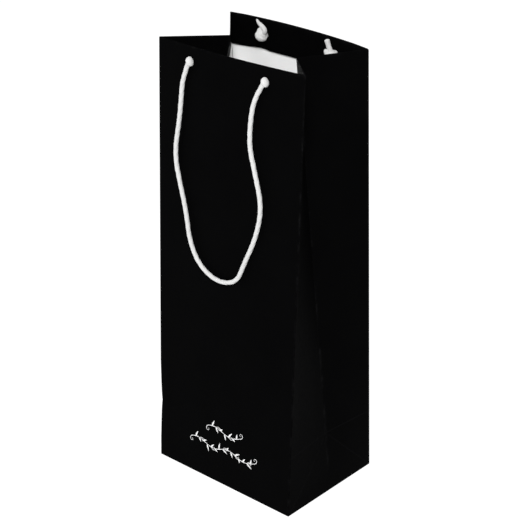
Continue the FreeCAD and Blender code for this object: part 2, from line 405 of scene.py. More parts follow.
# ---- the sheet as a grid: columns across it and level rows up it (mm) ----------------------------
FLAT_STEPS = [TURN, 2.0] + [4.0 * k for k in range(1, 17)]


def wall_steps(width):
    if width == GUSSET:
        steps = [t for t in FLAT_STEPS if t <= width - 4]
        return steps + [width - 2.0, width - TURN]
    return FLAT_STEPS + [HALF_W] + [width - t for t in reversed(FLAT_STEPS)]


def sheet_columns():
    """(kind, wall, where) across the flat sheet, with the flat distance of each from its start."""
    columns, start = [], 0.0
    for wall, (_, _, width, _) in enumerate(WALLS):
        columns += [("wall", wall, t, start + t) for t in wall_steps(width)]
        start += width
        columns += [("fold", wall, k, start + TURN * (2 * k - 1)) for k in (0.25, 0.5, 0.75)]
    columns += [("flap", 0, t, start + t) for t in (TURN, 4.0, 8.0, 12.0, 15.0)]
    return columns


COLUMNS = sheet_columns()
KNOCKED_AT = 49.5                    # height of the knock in the front left edge
UP = sorted([TURN, 2.0, KNOCKED_AT, 338.0] + [4.0 * k for k in range(1, 85)])
DOWN = (338.0, 336.0, 332.0, 328.0, 324.0, 320.0)   # inside, in the hem
ROUND_FOOT = (0.0, 0.25, 0.5, 0.75)  # steps round the bottom fold
ROUND_RIM = 7                        # rows round the fold of the rim
FIRST_UP = len(ROUND_FOOT)
FIRST_DOWN = FIRST_UP + len(UP) + ROUND_RIM


def knock(kind, wall, where, v):
    """How far the front left edge is knocked in at its shipping crease, in mm towards +X."""
    if (kind, wall) == ("wall", LEFT_FRONT):
        away = GUSSET - where
    elif (kind, wall) == ("wall", FRONT):
        away = where
    elif (kind, wall) == ("fold", LEFT_FRONT):
        away = 0.0
    else:
        return 0.0
    off = abs(v - KNOCKED_AT)
    deep = 1.1 * clamp(1 - off / 34.0) + 0.66 * math.exp(-off / 5.0)
    return deep * clamp(1 - away / 26.0) ** 2


def flare(kind, wall, where, v):
    """How far the left crease spreads just below the stiffer hem, in mm towards +X."""
    if (kind, wall) not in (("wall", LEFT_BACK), ("wall", LEFT_FRONT), ("fold", LEFT_BACK)):
        return 0.0
    away = 0.0 if kind == "fold" else (GUSSET - where if wall == LEFT_BACK else where)
    fade = clamp((333.0 - v) / 13.0) * clamp((v - 225.0) / 80.0)
    return -3.2 * fade * clamp(1 - away / 24.0) ** 2


def column_points(rise, depths, lift=LEVEL, dented=False, seamed=False):
    """Every column's point on one level line of the sheet."""
    ends = [wall_ends(w, rise, depths) for w in range(6)]
    seam_depths = list(depths)
    seam_depths[LEFT_BACK] = SEAM_DEPTH if seamed else depths[LEFT_BACK]
    seam_ends = wall_ends(LEFT_BACK, rise, seam_depths)
    points = []
    for kind, wall, where, _ in COLUMNS:
        if kind == "wall":
            p = on_wall(wall, where, rise, depths, dented, ends[wall])
            p[2] += lift[wall]
        elif kind == "flap":
            p = on_wall(LEFT_BACK, where, rise, seam_depths, dented, seam_ends)
            p[2] += lift[LEFT_BACK]
        else:
            after = (wall + 1) % 6
            p0 = on_wall(wall, WALLS[wall][2] - TURN, rise, depths, False, ends[wall])
            p0[2] += lift[wall]
            last = wall == BACK
            target = seam_ends if last else ends[after]
            p1 = target[0].copy()
            p2 = on_wall(after, TURN, rise, seam_depths if last else depths, False, target)
            p2[2] += lift[after]
            p1[2] = (p0[2] + p2[2]) / 2
            p = p0 * (1 - where) ** 2 + p1 * 2 * where * (1 - where) + p2 * where ** 2
        p[0] += flare(kind, wall, where, rise * HEIGHT)
        p[0] += knock(kind, wall, where, rise * HEIGHT) if dented else 0.0
        points.append(p)
    return points


def hem_edge(wall, t):
    """How far the hem's cut lower edge wanders, in mm."""
    wave = 0.35 * soft_noise(t / 17.0, 1.3 + wall, 4.4)
    wave += 0.15 * soft_noise(t / 5.0, 7.7 + wall, 2.1)
    if wall == BACK:                 # the cut steps down a little near one hole
        wave += 0.35 - 1.05 * clamp((102.0 - t) / 3.0)
        wave -= 1.5 * clamp((t - 103.0) / 22.0)
    return wave


def rim_lift(kind, wall, where):
    """How far the fold of the rim stands above its nominal height, in mm: the back one is high."""
    if kind == "fold":
        return 1.25 if wall in (RIGHT_BACK, BACK) else 0.0
    if wall == BACK:
        near = min(where, WIDTH - where)
        return 1.6 - 0.35 * clamp(1 - near / 14.0)
    near = {RIGHT_BACK: GUSSET - where, LEFT_BACK: where}.get(wall, math.inf)
    return 1.25 * clamp(1 - near / 32.0)


def sheet_rows():
    """The sheet's level lines, from the base fold up, over the rim and down inside."""
    rows, flat = [], []
    upright = column_points(TURN / HEIGHT, PLAIN)
    under = column_points(0.0, [MID + TURN] * 6)
    edge = column_points(0.0, PLAIN)
    for k in ROUND_FOOT:
        line = []
        for a, b, c in zip(under, edge, upright):
            a, b = a.copy(), b.copy()
            a[2] = b[2] = MID
            line.append(a * (1 - k) ** 2 + b * 2 * k * (1 - k) + c * k ** 2)
        rows.append(line)
        flat.append(TURN * (2 * k - 1))
    for v in UP:
        rows.append(column_points(v / HEIGHT, PLAIN, dented=True, seamed=3.0 < v < 317.0))
        flat.append(v)
    for step in range(ROUND_RIM):
        turn = math.pi * step / (ROUND_RIM - 1)
        depths = [MID + (h - MID) * (1 - math.cos(turn)) / 2 for h in HEM]
        lift = [-(h - MID) / 2 * (1 - math.sin(turn)) for h in HEM]
        line = column_points(1 - MID / HEIGHT, depths, lift)
        for (kind, wall, where, _), p in zip(COLUMNS, line):
            p[2] += rim_lift(kind, wall, where) * (0.4 + 0.6 * math.sin(turn))
        rows.append(line)
        flat.append(HEIGHT + 0.3 * (step - 3))
    for v in DOWN:
        rows.append(column_points(v / HEIGHT, HEM))
        flat.append(2 * HEIGHT - v)
    cut_edge = column_points(HEM_LOW / HEIGHT, HEM)
    for (kind, wall, where, _), p in zip(COLUMNS, cut_edge):
        p[2] += hem_edge(wall, where) if kind == "wall" else 0.0
    rows.append(cut_edge)
    flat.append(2 * HEIGHT - HEM_LOW)
    return rows, flat


def column_index(wall, t):
    return next(i for i, c in enumerate(COLUMNS)
                if c[:2] == ("wall", wall) and abs(c[2] - t) < 0.01)


def hole_places():
    """(wall, column in the middle of its patch, hole centre) for the four rope holes, in mm."""
    places, patch_at = [], 32.0
    for side, wall in PANEL_OF.items():
        for end in (HANDLES[side][0], HANDLES[side][-1]):
            x, z = end[0] / MM, end[2] / MM
            left = across_at(wall, x, z / HEIGHT, PLAIN) < HALF_W
            places.append((wall, column_index(wall, patch_at if left else WIDTH - patch_at), x, z))
    return places


def build_sheet():
    """The whole sheet's points in mm, its flat places for UVs, and its faces."""
    rows, flat = sheet_rows()
    count = len(COLUMNS)
    points, uv, faces = [], [], []
    for line, v in zip(rows, flat):
        points += line
        uv += [(column[3], v) for column in COLUMNS]
    upright_rows = [i for i, v in enumerate(flat) if 4.0 <= v <= 316.0]
    first_flap = next(i for i, c in enumerate(COLUMNS) if c[0] == "flap")
    up_row = {v: FIRST_UP + i for i, v in enumerate(UP)}
    down_row = {v: FIRST_DOWN + i for i, v in enumerate(DOWN)}
    patches = []
    for wall, column, x, z in hole_places():
        levels = (320.0, 324.0, 328.0, 332.0, 336.0)
        patches.append((wall, column, x, z, [up_row[v] for v in levels], PLAIN))
        patches.append((wall, column, x, z, [down_row[v] for v in reversed(levels)], HEM))
    skipped = {(r, c) for _, column, _, _, lines, _ in patches
               for r in lines[:-1] for c in range(column - 2, column + 2)}
    for r in range(len(rows) - 1):
        for c in range(count - 1):
            if (r, c) in skipped:
                continue
            if c >= first_flap and not (r in upright_rows and r + 1 in upright_rows):
                continue
            i = r * count + c
            faces.append((i, i + 1, i + 1 + count, i + count))

    # each rope hole: two rings inside a square patch of the grid
    for wall, column, x, z, lines, depths in patches:
        t_hole = across_at(wall, x, z / HEIGHT, depths)
        down = lines[0] >= FIRST_DOWN
        ring = [(lines[0], c) for c in range(column - 2, column + 2)]
        ring += [(r, column + 2) for r in lines[:-1]]
        ring += [(lines[4], c) for c in range(column + 2, column - 2, -1)]
        ring += [(r, column - 2) for r in reversed(lines[1:])]
        previous = [r * count + c for r, c in ring]
        for radius in (3.3, HOLE_RADIUS):
            new = []
            for r, c in ring:
                du = COLUMNS[c][2] - t_hole
                dz = (flat[r] if not down else 2 * HEIGHT - flat[r]) - z
                scale = radius / math.hypot(du, dz)
                t, v = t_hole + du * scale, z + dz * scale
                points.append(on_wall(wall, t, v / HEIGHT, depths, False))
                start = COLUMNS[c][3] - COLUMNS[c][2]
                uv.append((start + t, 2 * HEIGHT - v if down else v))
                new.append(len(points) - 1)
            for i in range(len(ring)):
                j = (i + 1) % len(ring)
                faces.append((previous[i], previous[j], new[j], new[i]))
            previous = new
    base_flaps(points, uv, faces)
    return points, uv, faces


def from_corner(c):
    """How far a panel's column is from the nearer corner of the bag."""
    return min(COLUMNS[c][2], WIDTH - COLUMNS[c][2])


def keep_tucked(c, d, s0, s1):
    """A panel's flap goes on 11 mm past its 45 degree fold, where it is tucked in."""
    return (s0 + s1) / 2 - (from_corner(c) + from_corner(d)) / 2 < 11.0


def split_on_fold(c, d, s0, s1):
    """Which way a square is cut in two, so that its diagonal lies on the 45 degree fold."""
    if abs(from_corner(c) - s0) < 0.01 and abs(from_corner(d) - s1) < 0.01:
        return "down"
    if abs(from_corner(c) - s1) < 0.01 and abs(from_corner(d) - s0) < 0.01:
        return "up"
    return None


def base_flaps(points, uv, faces):
    """The four flaps of the base, each joined to the bottom fold of its wall."""
    def flap(columns, place, keep, split):
        known = {(0, c): c for c in columns}
        for r, s in enumerate(FLAT_STEPS[1:], 1):
            for c in columns:
                known[(r, c)] = len(points)
                points.append(place(c, s))
                uv.append((COLUMNS[c][3], -s))
        for r in range(len(FLAT_STEPS) - 1):
            for c, d in zip(columns, columns[1:]):
                if not keep(c, d, FLAT_STEPS[r], FLAT_STEPS[r + 1]):
                    continue
                low, high = (known[(r + 1, c)], known[(r + 1, d)]), (known[(r, c)], known[(r, d)])
                way = split(c, d, FLAT_STEPS[r], FLAT_STEPS[r + 1])
                if way == "down":
                    faces.extend([(low[0], low[1], high[0]), (low[1], high[1], high[0])])
                elif way == "up":
                    faces.extend([(low[0], low[1], high[1]), (low[0], high[1], high[0])])
                else:
                    faces.append((low[0], low[1], high[1], high[0]))

    layer = THICK + 0.025            # one more layer of paper, with a little air
    for wall, sign in ((FRONT, 1), (BACK, -1)):

        def place(c, s, sign=sign):
            near = from_corner(c)
            tucked = s > near + 0.01
            along, deep = (s, near) if tucked else (near, s)
            x = along if COLUMNS[c][2] < HALF_W else WIDTH - along
            z = MID
            if sign < 0:             # the back flap steps up on to the front one
                z += 0.55 * ease(clamp((deep - 31.0) / 5.0))
            if tucked:
                z += layer
            elif abs(s - near) < 0.01:
                z += layer / 2
            scale = (WIDTH - 2 * MID) / WIDTH
            return np.array([sign * (x - HALF_W) * scale, sign * (-HALF_D + MID + deep), z])

        flap([i for i, c in enumerate(COLUMNS) if c[:2] == ("wall", wall)], place,
             keep_tucked, split_on_fold)

    for first, sign in ((LEFT_BACK, -1), (RIGHT_FRONT, 1)):
        low = column_index(first, TURN)
        high = column_index(first + 1, GUSSET - TURN)

        def place(c, s, sign=sign, first=first):
            z = MID + 1.1 * ease(clamp(s / 6.0))
            along = (COLUMNS[c][3] - FOLDS[first]) * (DEPTH - 2 * MID) / DEPTH + MID
            return np.array([sign * (HALF_W - MID - s), sign * (-HALF_D + along), z])

        flap(list(range(low, high + 1)), place, lambda c, d, s0, s1: s1 < 62.5, lambda *_: None)


def sheet_marks(uv):
    """Per point: wear on the folds, and signed distances to the shipping creases, in mm."""
    wear, slant, level = [], [], []
    far = 90.0
    left_end, right_start, right_end = FOLDS[2], FOLDS[3], FOLDS[5]
    for u, v in uv:
        near = min(abs(u - f) for f in FOLDS)
        w = math.exp(-(near / 1.1) ** 2)
        for fold in (0.0, HEIGHT):
            w = max(w, math.exp(-((v - fold) / 0.9) ** 2))
        wear.append(w)
        gusset = u <= left_end or right_start <= u <= right_end
        start = 0.0 if u <= left_end else right_start
        slanted = gusset and 0.0 <= v <= 120.0
        slant.append(v - (GUSSET - abs(u - start - GUSSET)) if slanted else far)
        level.append(v - GUSSET if (gusset or u > right_end) and v >= 0 else far)
    return wear, slant, level


def paper_materials():
    """The sheet's outside, its inside and its cut edges."""
    coated = Nodes("laminated_paper")
    where = coated.add("UVMap", uv_map="UVMap").outputs[0]
    grain = coated.noise(where, 260.0, 4.0, 0.6)
    mottle = coated.noise(where, 30.0, 3.0, 0.55)
    broad = coated.noise(where, 2.6, 3.0, 0.6)
    worn = coated.add("Attribute", attribute_name="wear").outputs["Fac"]
    patches = coated.noise(where, 7.0, 6.0, 0.72)
    rubbed = coated.math("MULTIPLY", worn, coated.span(patches, 0.44, 0.74), True)
    lines = None
    for name in ("slant_crease", "level_crease"):
        gap = coated.add("Attribute", attribute_name=name).outputs["Fac"]
        line = coated.span(coated.math("ABSOLUTE", gap), 0.0, 0.8, 1.0, 0.0)
        lines = line if lines is None else coated.math("MAXIMUM", lines, line)
    scuffed = coated.math("MAXIMUM", rubbed, coated.math("MULTIPLY", lines, 0.25))
    colour = coated.mix(broad, (0.0010, 0.0010, 0.0011, 1), (0.0017, 0.0017, 0.0018, 1))
    colour = coated.mix(coated.math("MULTIPLY", scuffed, 0.5), colour, (0.011, 0.011, 0.0115, 1))
    rough = coated.math("ADD", coated.span(mottle, 0.3, 0.7, 0.40, 0.47),
                        coated.math("MULTIPLY", broad, 0.08))
    rough = coated.math("ADD", rough, coated.math("MULTIPLY", scuffed, 0.12))
    normal = coated.bump(grain, 0.18, 0.00002)
    normal = coated.bump(broad, 0.5, 0.0006, normal)
    normal = coated.bump(coated.math("MULTIPLY", lines, -1.0), 0.6, 0.00012, normal)
    coated.set(Base_Color=colour, Roughness=rough, Normal=normal)
    coated.shader.inputs["Specular IOR Level"].default_value = 0.03
    coated.shader.inputs["IOR"].default_value = 1.15

    plain = Nodes("uncoated_paper")
    where = plain.add("UVMap", uv_map="UVMap").outputs[0]
    fibres = plain.noise(plain.stretched(where, (90.0, 420.0, 1.0)), 1.0, 4.0, 0.65)
    cloud = plain.noise(where, 9.0, 4.0, 0.6)
    colour = plain.mix(cloud, (0.86, 0.86, 0.857, 1), (0.91, 0.91, 0.907, 1))
    colour = plain.mix(plain.span(fibres, 0.35, 0.7, 0.0, 0.12), colour, (0.70, 0.695, 0.68, 1))
    plain.set(Base_Color=colour, Roughness=plain.span(cloud, 0.3, 0.7, 0.78, 0.9),
              Normal=plain.bump(fibres, 0.25, 0.00004))
    plain.shader.inputs["Specular IOR Level"].default_value = 0.3

    core = Nodes("paper_edge")
    where = core.add("TexCoord").outputs["Object"]
    fibre = core.noise(where, 2500.0, 3.0, 0.6)
    core.set(Base_Color=core.mix(fibre, (0.50, 0.50, 0.49, 1), (0.78, 0.78, 0.77, 1)),
             Roughness=0.9, Normal=core.bump(fibre, 0.4, 0.00005))
    return [coated.material, plain.material, core.material]


def make_sheet():
    points, uv, faces = build_sheet()
    used = sorted({i for f in faces for i in f})
    place = {old: new for new, old in enumerate(used)}
    faces = [tuple(place[i] for i in f) for f in faces]
    points = [points[i] * MM for i in used]
    uv = [uv[i] for i in used]
    sheet = mesh_object("paper_sheet", points, faces)
    mesh = sheet.data
    layer = mesh.uv_layers.new(name="UVMap")
    for loop in mesh.loops:
        u, v = uv[loop.vertex_index]
        layer.data[loop.index].uv = (u / 100.0, v / 100.0)
    for name, values in zip(("wear", "slant_crease", "level_crease"), sheet_marks(uv)):
        mesh.attributes.new(name, "FLOAT", "POINT").data.foreach_set("value", values)
    for material in paper_materials():
        mesh.materials.append(material)
    solid = sheet.modifiers.new("thickness", "SOLIDIFY")
    solid.thickness, solid.offset = THICK * MM, 0.0
    solid.use_even_offset = False
    solid.material_offset, solid.material_offset_rim = 1, 2
    apply_modifiers(sheet)
    return sheet


def apply_modifiers(obj):
    graph = bpy.context.evaluated_depsgraph_get()
    mesh = bpy.data.meshes.new_from_object(obj.evaluated_get(graph))
    obj.modifiers.clear()
    old = obj.data
    obj.data = mesh
    bpy.data.meshes.remove(old)


# ---- rope ----------------------------------------------------------------------------------------
def along_line(path):
    """Unit directions along a line, and a frame that doesn't twist round it."""
    path = np.asarray(path, float)
    ahead = np.gradient(path, axis=0)
    ahead /= np.linalg.norm(ahead, axis=1)[:, None]
    side = np.cross(ahead[0], (0.31, 0.92, 0.23))
    side /= np.linalg.norm(side)
    sides = [side]
    for direction in ahead[1:]:
        side = sides[-1] - direction * np.dot(sides[-1], direction)
        sides.append(side / np.linalg.norm(side))
    sides = np.array(sides)
    return ahead, sides, np.cross(ahead, sides)


def lengths(path):
    return np.r_[0.0, np.cumsum(np.linalg.norm(np.diff(path, axis=0), axis=1))]


def resample(path, step):
    path = np.asarray(path, float)
    s = lengths(path)
    places = np.linspace(0.0, s[-1], max(4, int(round(s[-1] / step)) + 1))
    return np.stack([np.interp(places, s, path[:, i]) for i in range(3)], axis=1)


def soften(path, rounds):
    path = path.copy()
    for _ in range(rounds):
        path[1:-1] += 0.5 * ((path[:-2] + path[2:]) / 2 - path[1:-1])
    return path


class Tubes:
    """Several closed tubes gathered into one mesh, with UVs along and round each."""
    SIDES, UV_LENGTH = 12, 0.01

    def __init__(self):
        self.points, self.faces, self.uv = [], [], []

    def add(self, line, radius):
        line = np.asarray(line, float)
        radius = np.broadcast_to(radius, (len(line),))
        _, side, up = along_line(line)
        s = lengths(line)
        first, n = len(self.points), self.SIDES
        for i, (p, r) in enumerate(zip(line, radius)):
            for k in range(n):
                turn = 2 * math.pi * k / n
                self.points.append(p + r * (math.cos(turn) * side[i] + math.sin(turn) * up[i]))
        for i in range(len(line) - 1):
            for k in range(n):
                a, b = first + i * n + k, first + i * n + (k + 1) % n
                self.faces.append((a, b, b + n, a + n))
                u0, u1 = s[i] / self.UV_LENGTH, s[i + 1] / self.UV_LENGTH
                self.uv.append(((u0, k / n), (u0, (k + 1) / n), (u1, (k + 1) / n), (u1, k / n)))
        for row, flip in ((0, True), (len(line) - 1, False)):
            ring = [first + row * n + k for k in range(n)]
            centre = len(self.points)
            self.points.append(line[row])
            for k in range(n):
                a, b = ring[k], ring[(k + 1) % n]
                self.faces.append((b, a, centre) if flip else (a, b, centre))
                self.uv.append(((s[row] / self.UV_LENGTH, 0.0),) * 3)

    def bead(self, centre, axis, across, up, half, girth, groove, rows=18, steps=36):
        """A rounded lump turned about an axis, with three soft grooves that wind round it."""
        first = len(self.points)
        for i in range(rows + 1):
            tilt = math.pi * i / rows
            for k in range(steps):
                turn = 2 * math.pi * k / steps
                out = across * math.cos(turn) + up * math.sin(turn)
                size = 1 + groove * math.cos(3 * turn + 2.4 * math.cos(tilt))
                self.points.append(centre + axis * half * math.cos(tilt)
                                   + out * girth * math.sin(tilt) * size)
        for i in range(rows):
            for k in range(steps):
                m = (k + 1) % steps
                self.faces.append((first + i * steps + k, first + (i + 1) * steps + k,
                                   first + (i + 1) * steps + m, first + i * steps + m))
                v0, v1 = i / rows, (i + 1) / rows
                u0, u1 = k / steps, (k + 1) / steps
                self.uv.append(((u0, v0), (u0, v1), (u1, v1), (u1, v0)))

    def make(self, name, material):
        piece = mesh_object(name, self.points, self.faces)
        layer = piece.data.uv_layers.new(name="UVMap")
        flat = [c for face in self.uv for corner_uv in face for c in corner_uv]
        layer.data.foreach_set("uv", flat)
        piece.data.materials.append(material)
        return piece


STRAND = 0.00138                     # a strand's radius
STRAND_RING = 0.00029                # its middle's distance from the rope's
LAY = 0.0185                         # one full turn of the strands
GROOVE = 0.03                        # of a bead's three grooves, as a share of its girth


def twist(tubes, path, phase=0.0, lay=LAY, ring=STRAND_RING, radius=STRAND):
    """Three strands round a line. Ring and radius may vary along it."""
    path = np.asarray(path, float)
    _, side, up = along_line(path)
    s = lengths(path)
    ring = np.broadcast_to(ring, (len(path),))
    radius = np.broadcast_to(radius, (len(path),))
    for k in range(3):
        turn = 2 * math.pi * (s / lay + k / 3) + phase
        # no strand is quite even, in its place or its thickness
        wander = 0.00004 * np.sin(s / 0.0071 + 2.1 * k) + 0.00003 * np.sin(s / 0.0033 + 4.0 * k)
        line = path + (ring + wander)[:, None] * (np.cos(turn)[:, None] * side
                                                  + np.sin(turn)[:, None] * up)
        tubes.add(line, radius * (1 + 0.025 * np.sin(s / 0.0047 + 1.7 * k)))


def rope_material():
    n = Nodes("soft_rope")
    uv = n.add("SeparateXYZ", {0: n.add("UVMap", uv_map="UVMap").outputs[0]})
    place = n.add("TexCoord").outputs["Object"]
    # yarns wind round each strand against its lay
    winding = n.math("ADD", n.math("MULTIPLY", uv.outputs[0], 2.6),
                     n.math("MULTIPLY", uv.outputs[1], -8.0))
    wobble = n.math("MULTIPLY", n.noise(place, 900.0, 2.0), 0.5)
    saw = n.math("FRACT", n.math("ADD", winding, wobble))
    yarn = n.math("SINE", n.math("MULTIPLY", saw, math.pi))
    fluff = n.noise(place, 5200.0, 4.0, 0.65)
    cloud = n.noise(place, 160.0, 3.0, 0.55)
    # painted shade: the rope's colour is darker in the grooves where the yarns meet and lighter on their crowns,
    # following the yarn bump
    colour = n.mix(n.span(yarn, 0.0, 0.75), (0.535, 0.535, 0.532, 1), (0.585, 0.585, 0.581, 1))
    colour = n.mix(n.span(cloud, 0.35, 0.7, 0.0, 0.25), colour, (0.545, 0.541, 0.534, 1))
    normal = n.bump(yarn, 0.4, 0.00010)
    normal = n.bump(fluff, 0.35, 0.00009, normal)
    n.set(Base_Color=colour, Roughness=n.span(fluff, 0.3, 0.7, 0.72, 0.9), Normal=normal)
    n.shader.inputs["Specular IOR Level"].default_value = 0.25
    n.shader.inputs["Sheen Weight"].default_value = 0.25
    n.shader.inputs["Sheen Roughness"].default_value = 0.5
    return n.material


def spline_points(name, route):
    """The handle's smooth line: a NURBS spline through its route, read back as points."""
    data = bpy.data.curves.new(name, "CURVE")
    data.dimensions, data.resolution_u = "3D", 24
    spline = data.splines.new("NURBS")
    spline.points.add(len(route) - 1)
    for point, place in zip(spline.points, route):
        point.co = (*place, 1.0)
    spline.order_u = 3
    spline.use_endpoint_u = True
    carrier = link(bpy.data.objects.new(name, data))
    bpy.context.view_layer.update()
    graph = bpy.context.evaluated_depsgraph_get()
    mesh = bpy.data.meshes.new_from_object(carrier.evaluated_get(graph))
    line = [tuple(v.co) for v in mesh.vertices]
    bpy.data.objects.remove(carrier)
    bpy.data.meshes.remove(mesh)
    return line


def make_handle(side, material):
    """One handle's rope, with a bead at each hole for the bulge of its bend, and its line."""
    line = spline_points(side + "_route", HANDLES[side])
    path = resample(line, 0.0007)
    s = lengths(path)
    tubes = Tubes()
    # the strands spread a little where they come out of the bends at the holes
    near = np.minimum(s, s[-1] - s)
    spread = 1.0 + 0.28 * np.exp(-(near / 0.0036) ** 2)
    twist(tubes, path, phase=0.6, ring=STRAND_RING * spread,
          radius=STRAND * (1 + (spread - 1) * 0.3))
    ends = [Vector(path[0]), Vector(path[-1])]
    axis = (ends[1] - ends[0]).normalized()
    up = Vector((0, 0, 1))
    across = axis.cross(up).normalized()
    axis, up, across = (np.array(v) for v in (axis, up, across))
    half, girth, seat = 0.0025, 0.0031, 0.0009
    leaning = up * 1.1 - axis * 0.2
    for end in ends:
        tubes.bead(np.array(end) - across * seat, axis, across, leaning, half, girth, GROOVE)
    return tubes.make(side + "_rope", material), line


# ---- knots ---------------------------------------------------------------------------------------
KNOT_RADIUS, KNOT_REACH, KNOT_RISE = 0.0051, 0.0066, 0.0008   # reach and rise are from its hole
KNOT_LAY = 0.016
# Each knot: its tail's four bezier points from the knot's middle, how pointed it is, and its roll.
KNOTS = {
    "front_left": ([(0, 0, 0), (0.003, 0.003, -0.004), (0.004, 0.004, -0.008),
                    (0.004, 0.002, -0.0125)], 0.3, 0.4),
    "front_right": ([(0, 0, 0), (-0.002, 0.004, -0.003), (-0.003, 0.005, -0.008),
                     (-0.0035, 0.003, -0.0115)], 0.1, 2.0),
    "back_left": ([(0.0025, 0, 0.0024), (0.0060, 0.0002, 0.0062), (-0.0024, 0.0004, 0.0066),
                   (-0.0034, -0.0008, 0.0118)], 0.9, 1.2),
    "back_right": ([(0.0012, -0.001, 0), (0.0002, -0.001, 0.0035), (-0.0020, -0.0010, 0.0070),
                    (-0.0030, -0.0010, 0.0110)], 0.0, 2.9),
}


def overhand_knot(thick=2.7, step=0.8, tail=17.0, rounds=2300):
    """An overhand knot drawn tight along X: a chain of points kept a thickness apart, in mm."""
    t = np.linspace(-2.15, 2.15, 1500)
    c = np.stack([1.7 * (t ** 3 - 3 * t), 1.35 * (t ** 4 - 4 * t ** 2),
                  0.36 * (t ** 5 - 10 * t)], 1)
    a, b = c[0] - c[1], c[-1] - c[-2]
    k = np.arange(tail, 0, -step)[:, None]
    c = np.vstack([c[0] + a / np.linalg.norm(a) * k, c, c[-1] + b / np.linalg.norm(b) * k[::-1]])
    s = lengths(c)
    n = int(s[-1] / step)
    p = np.stack([np.interp(np.arange(n) * step, s, c[:, i]) for i in range(3)], 1)
    gap = np.abs(np.arange(n)[:, None] - np.arange(n)[None, :])
    left, right, pull = p[0].copy(), p[-1].copy(), 0.06
    for turn in range(rounds):
        apart = thick * min(1.0, 0.6 + 0.4 * turn / 700)
        far = gap >= int(math.ceil(1.35 * apart / step))
        left[0] -= pull
        right[0] += pull
        left[1:] *= 0.99
        right[1:] *= 0.99
        p[1:-1] += 0.10 * ((p[:-2] + p[2:]) / 2 - p[1:-1])
        d = p[:, None] - p[None]
        size = np.sqrt((d ** 2).sum(-1)) + 1e-9
        touch = far & (size < apart)
        push = np.where(touch, (apart - size) / size * 0.5, 0.0)
        move = (d * push[..., None]).sum(1) / np.maximum(1, touch.sum(1))[:, None] * 1.8
        p[1:-1] += move[1:-1]
        for _ in range(5):
            for odd in (0, 1):
                u, v = p[odd:-1:2], p[odd + 1::2]
                m = min(len(u), len(v))
                d = v[:m] - u[:m]
                fix = d * (1 - step / np.linalg.norm(d, axis=1, keepdims=True)) * 0.5
                p[odd:-1:2][:m] += fix
                p[odd + 1::2][:m] -= fix
                p[0], p[-1] = left, right
        stretch = np.linalg.norm(np.diff(p, axis=0), axis=1).mean() / step
        pull = -0.02 if stretch > 1.02 else (0.06 if stretch < 1.01 else 0.004)
    core = p[np.linalg.norm(p[:, 1:], axis=1) > 1.5]
    return p - core.mean(axis=0)


def bezier(a, b, c, d, count):
    k = np.linspace(0, 1, count)[:, None]
    return a * (1 - k) ** 3 + 3 * b * k * (1 - k) ** 2 + 3 * c * k ** 2 * (1 - k) + d * k ** 3


def rounded_knot(drawn, radius):
    """The turns of the drawn knot pressed to a ball: its length and girth brought to one size."""
    rope_half = 2.0                  # what the rope laid along these turns adds outside them
    core = drawn[np.linalg.norm(drawn[:, 1:], axis=1) > 1.0]
    half = np.abs(core).max(axis=0)
    return core * (radius - rope_half) / half


def make_knot(name, turns, skin, into, tail, pointed, roll, material):
    """The knotted end of a rope, in metres: a stub through the hole, the knot and its cut tail."""
    middle = skin + into * KNOT_REACH + np.array((0, 0, KNOT_RISE))
    tail = [middle + np.array(p) for p in tail]
    lean = Vector(tail[1] - middle).normalized()
    spin = np.array(lean.to_track_quat("X", "Z").to_matrix() @ Matrix.Rotation(roll, 3, "X"))
    axis, across, up = spin.T
    tubes = Tubes()
    step, inner, outside = 0.00045, KNOT_RADIUS * 0.8, 0.0013
    tubes.bead(middle, axis, across, up, inner, inner, GROOVE)
    body = resample(soften(resample((turns @ spin.T) * MM + middle, 0.0006), 3), step)
    twist(tubes, body, phase=roll, lay=KNOT_LAY, ring=STRAND_RING * 1.5, radius=STRAND * 1.22)
    twist(tubes, resample(np.array([skin - into * outside, middle]), step), phase=roll)
    path = resample(bezier(*tail, 40), step)
    s = lengths(path)
    left = s[-1] - s
    shrink = pointed * (1 - np.clip(left / 0.0075, 0, 1) ** 0.65)
    tip = np.sqrt(1 - 0.85 * (1 - np.clip(left / 0.0007, 0.0, 1.0)) ** 2)
    fray = np.clip(1 - left / 0.004, 0, 1) * (1 - pointed)
    twist(tubes, path, phase=roll, lay=KNOT_LAY,
          ring=STRAND_RING * (1 + 0.5 * fray) * (1 - 0.8 * shrink),
          radius=STRAND * 1.12 * (1 - 0.78 * shrink) * tip)
    return tubes.make(name, material)


def tie_knot(name, turns, tail, pointed, roll, material):
    """The knot at one hole, on the skin of its panel there."""
    side, hand = name.split("_")
    wall = PANEL_OF[side]
    end = sorted([HANDLES[side][0], HANDLES[side][-1]])[hand == "right"]
    rise = end[2] / MM / HEIGHT
    skin = on_wall(wall, across_at(wall, end[0] / MM, rise, PLAIN), rise, PLAIN, False) * MM
    skin[0], skin[2] = end[0], end[2]
    return side, make_knot(name + "_tied", turns, skin, INTO[side], tail, pointed, roll, material)


# ---- printed sprigs ------------------------------------------------------------------------------
def motif_material():
    n = Nodes("light_print")
    place = n.add("TexCoord").outputs["Object"]
    cover = n.noise(place, 1500.0, 3.0, 0.6)
    n.set(Base_Color=n.mix(n.span(cover, 0.3, 0.75), (0.70, 0.70, 0.70, 1), (0.86, 0.86, 0.86, 1)),
          Roughness=n.span(cover, 0.3, 0.7, 0.4, 0.55), Normal=n.bump(cover, 0.15, 0.00002))
    return n.material


def arc_line(start, heading, turns, step=0.5):
    """A pen line on the panel: from a place and heading, turning at a rate that eases along it."""
    places, angle = [np.array(start, float)], math.radians(heading)
    for length, bend_in, bend_out in turns:
        count = max(2, int(length / step))
        for i in range(count):
            k = (i + 0.5) / count
            angle += math.radians(bend_in + (bend_out - bend_in) * k) * length / count
            ahead = np.array([math.cos(angle), math.sin(angle)])
            places.append(places[-1] + (length / count) * ahead)
    return np.array(places)


